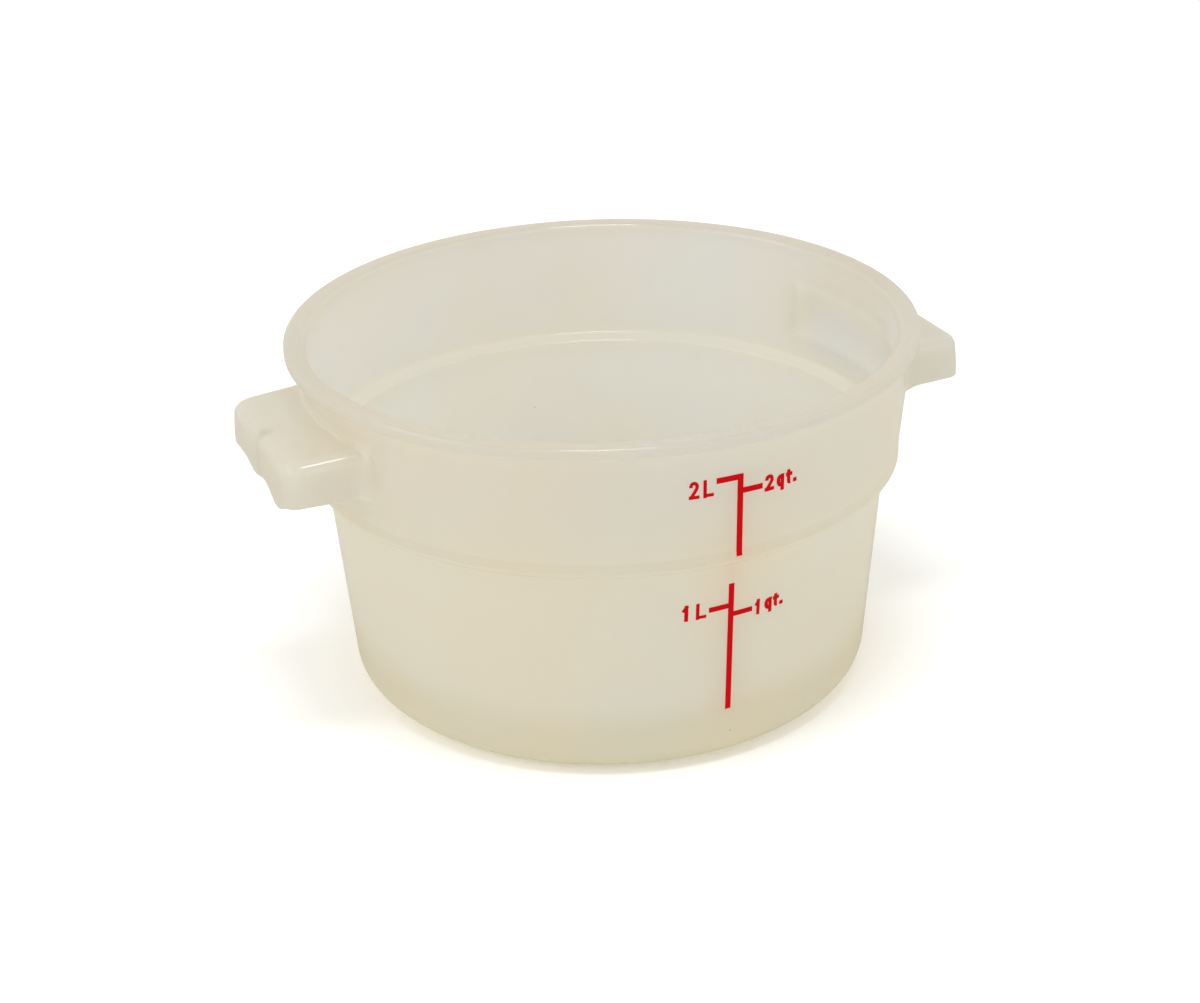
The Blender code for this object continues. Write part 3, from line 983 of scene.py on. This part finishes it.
def plasticMaterial(name, settings, groups):
    # A glossy surface mixed with a translucent one, both in the same drifting and speckled colour
    material, tree, shader = newMaterial(name)
    shader.inputs["IOR"].default_value = settings["ior"]
    place = objectPlace(tree)
    share = mathNode(tree, "DIVIDE", placeParts(tree, place)["Z"], tub["height"])
    # The height ramps carry painted light and shade, and the inside is painted greyer and bluer than the
    # outside
    outside = colourRamp(tree, share, settings["outside"])
    inside = colourRamp(tree, share, settings["inside"])
    colour = mixColours(tree, "MIX", storedValue(tree, "inward"), outside, inside)
    # Painted shade: the rim's up-facing top is darkened
    if settings["rimTop"]:
        colour = mixColours(tree, "MIX", storedValue(tree, "rimTop"), colour, opaque(settings["rimTop"]))
    if settings["hollow"]:
        colour = hollowTint(tree, colour, settings, groups)
    if settings["root"]:
        colour = rootPaintedLight(tree, place, colour, settings)
    if settings["mark"]:
        colour = dimpleTint(tree, place, colour, settings)
    if settings["glow"]:
        colour = inkGlow(tree, place, colour, settings)
    clouds = useGroup(
        tree, groups["clouds"], Colour=colour, Warm=settings["warm"], Cool=settings["cool"],
        Scale=settings["cloudScale"],
    )
    specks = useGroup(
        tree, groups["specks"], Colour=clouds["Colour"], Speck=settings["speck"],
        Scale=settings["speckScale"], Size=settings["speckSize"], Share=settings["speckShare"],
    )
    grain = useGroup(
        tree, groups["grain"], Roughness=settings["roughness"], Vary=settings["vary"], Wave=settings["wave"],
    )
    bump = addNode(
        tree, "ShaderNodeBump", Height=grain["Height"],
        Strength=settings["bump"], Distance=settings["bumpReach"],
    )
    feed(tree, shader.inputs["Base Color"], specks["Colour"])
    feed(tree, shader.inputs["Roughness"], grain["Roughness"])
    feed(tree, shader.inputs["Normal"], bump.outputs["Normal"])
    through = addNode(tree, "ShaderNodeBsdfTranslucent", Color=specks["Colour"])
    blend = addNode(tree, "ShaderNodeMixShader", Fac=settings["through"])
    feed(tree, blend.inputs[1], shader.outputs["BSDF"])
    feed(tree, blend.inputs[2], through.outputs["BSDF"])
    feed(tree, tree.nodes["Material Output"].inputs["Surface"], blend.outputs["Shader"])
    return material


# The red ink, with the faint mottle of a worn screen print
inkPaint = {
    "colour": (0.560, 0.0005, 0.003, 1.0),
    "thin": (0.620, 0.004, 0.008, 1.0),
    "roughness": 0.50,
    "specular": 0.03,
    "mottleScale": 900.0,
    "mottleDetail": 3.0,
    "bump": 0.10,
    "bumpReach": 0.00005,
}


def inkMaterial(name, settings):
    # The mottle shows in the ink's colour and, faintly, in its surface
    material, tree, shader = newMaterial(name)
    shader.inputs["Roughness"].default_value = settings["roughness"]
    shader.inputs["Specular IOR Level"].default_value = settings["specular"]
    mottle = noiseNode(tree, objectPlace(tree), settings["mottleScale"], settings["mottleDetail"])
    bump = addNode(
        tree, "ShaderNodeBump", Height=mottle, Strength=settings["bump"], Distance=settings["bumpReach"],
    )
    colour = mixColours(tree, "MIX", mottle, settings["colour"], settings["thin"])
    feed(tree, shader.inputs["Base Color"], colour)
    feed(tree, shader.inputs["Normal"], bump.outputs["Normal"])
    return material


# Which points count as the tub's inside: those that face its middle, and level ones on floor and ledge
insideTest = {
    "leastRadius": 1e-6,
    "gain": 2.0,
    "level": 0.5,
    "beyond": 0.0002,
    "above": 0.0010,
}


def markInward(piece):
    # Stores on each point how far its surface faces the tub's middle or up from the floor
    mesh = piece.data
    places = np.empty(len(mesh.vertices) * 3)
    normals = np.empty(len(places))
    mesh.vertices.foreach_get("co", places)
    mesh.vertex_normals.foreach_get("vector", normals)
    x, y, z = places.reshape(-1, 3).T
    normalX, normalY, normalZ = normals.reshape(-1, 3).T
    radius = np.hypot(x, y)
    facing = -(x * normalX + y * normalY) / np.maximum(radius, insideTest["leastRadius"])
    within = radius < tub["bandFoot"] - tub["wall"] + insideTest["beyond"]
    low = z < tub["ledge"] + tub["ledgeFall"] + insideTest["above"]
    onFloor = within & low & (normalZ > insideTest["level"])
    inward = np.where(onFloor, 1.0, np.clip(facing * insideTest["gain"], 0.0, 1.0))
    # rimTop marks the rim's up-facing top, where the painted shade goes
    rimTop = np.where(z > tub["rimFoot"], smoothStep(normalZ), 0.0)
    for label, values in (("inward", inward), ("rimTop", rimTop)):
        mesh.attributes.new(label, "FLOAT", "POINT").data.foreach_set("value", values.astype(np.float32))


groups = {
    "clouds": cloudGroup(cloudForm),
    "specks": speckGroup(),
    "grain": grainGroup(grainForm),
    "bands": softBandGroup(),
}
tubMaterial = plasticMaterial("tub_plastic", tubPlastic, groups)
lugMaterial = plasticMaterial("lug_plastic", lugPlastic, groups)
inkCoat = inkMaterial("scale_ink", inkPaint)
markInward(tubPiece)
tubPiece.data.materials.append(tubMaterial)
for piece in (leftLug, rightLug):
    piece.data.attributes.new("inward", "FLOAT", "POINT")
    piece.data.materials.append(lugMaterial)
for piece in (upperInk, lowerInk):
    piece.data.materials.append(inkCoat)
print("materials made")


# The floor and the light
stage = {
    "reach": 6.0,
    "drop": 0.0002,
    "paint": (0.86, 0.86, 0.85, 1.0),
    "seenPaint": (1.12, 1.12, 1.11, 1.0),
    "roughness": 0.9,
    "sky": (1.0, 1.0, 1.0, 1.0),
    "skyTop": 0.65,
    "skyEdge": 1.18,
    "seenSky": 1.0,
}


def buildFloor():
    # A wide flat sheet, a hair under the tub's foot so that light reaches the foot from below.
    # Its paint looks white to the camera and keeps the object's shadow.
    size = stage["reach"]
    level = -stage["drop"]
    corners = [(-size, -size, level), (size, -size, level), (size, size, level), (-size, size, level)]
    mesh = bpy.data.meshes.new("floor")
    mesh.from_pydata(corners, [], [(0, 1, 2, 3)])
    floor = bpy.data.objects.new("floor", mesh)
    bpy.context.scene.collection.objects.link(floor)
    material, tree, shader = newMaterial("floor_paint")
    shader.inputs["Roughness"].default_value = stage["roughness"]
    isSeen = addNode(tree, "ShaderNodeLightPath").outputs["Is Camera Ray"]
    paint = mixColours(tree, "MIX", isSeen, stage["paint"], stage["seenPaint"])
    feed(tree, shader.inputs["Base Color"], paint)
    mesh.materials.append(material)
    return floor


def buildWorld():
    # An even white sky, a little dimmer overhead. The camera sees it plain white.
    world = bpy.data.worlds.new("studio")
    bpy.context.scene.world = world
    world.use_nodes = True
    tree = world.node_tree
    background = tree.nodes["Background"]
    background.inputs["Color"].default_value = stage["sky"]
    upward = placeParts(tree, addNode(tree, "ShaderNodeTexCoord").outputs["Generated"])["Z"]
    sky = addNode(tree, "ShaderNodeMapRange", Value=upward, To_Min=stage["skyEdge"], To_Max=stage["skyTop"])
    isSeen = addNode(tree, "ShaderNodeLightPath").outputs["Is Camera Ray"]
    strength = addNode(tree, "ShaderNodeMix", {"data_type": "FLOAT"}, Factor=isSeen)
    feed(tree, strength.inputs[2], sky.outputs["Result"])
    feed(tree, strength.inputs[3], stage["seenSky"])
    feed(tree, background.inputs["Strength"], strength.outputs[0])


# Soft lamps: place, width, depth and power. The first is a softbox above and a little to the front.
lamps = {
    "key_lamp": ((-0.10, -0.30, 1.30), 0.46, 0.22, 4.4),
    "left_lamp": ((-1.40, 0.10, 0.90), 0.90, 0.90, 3.0),
}


def buildLamp(name, place, width, depth, power):
    # An oblong area lamp that faces the middle of the tub
    data = bpy.data.lights.new(name, "AREA")
    data.shape = "RECTANGLE"
    data.size = width
    data.size_y = depth
    data.energy = power
    lamp = bpy.data.objects.new(name, data)
    bpy.context.scene.collection.objects.link(lamp)
    aim = Vector((0.0, 0.0, tub["height"] / 2)) - Vector(place)
    lamp.matrix_world = Matrix.Translation(place) @ aim.to_track_quat("-Z", "Y").to_matrix().to_4x4()


floor = buildFloor()
buildWorld()
for lampName, (place, width, depth, power) in lamps.items():
    buildLamp(lampName, place, width, depth, power)
bpy.context.scene.view_settings.view_transform = "Standard"
print("floor and light set")

for piece in (tubPiece, leftLug, rightLug, upperInk, lowerInk):
    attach(piece, "root")
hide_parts("tub_body")
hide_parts("left_handle")
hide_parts("right_handle")
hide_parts("upper_scale")
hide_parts("lower_scale")
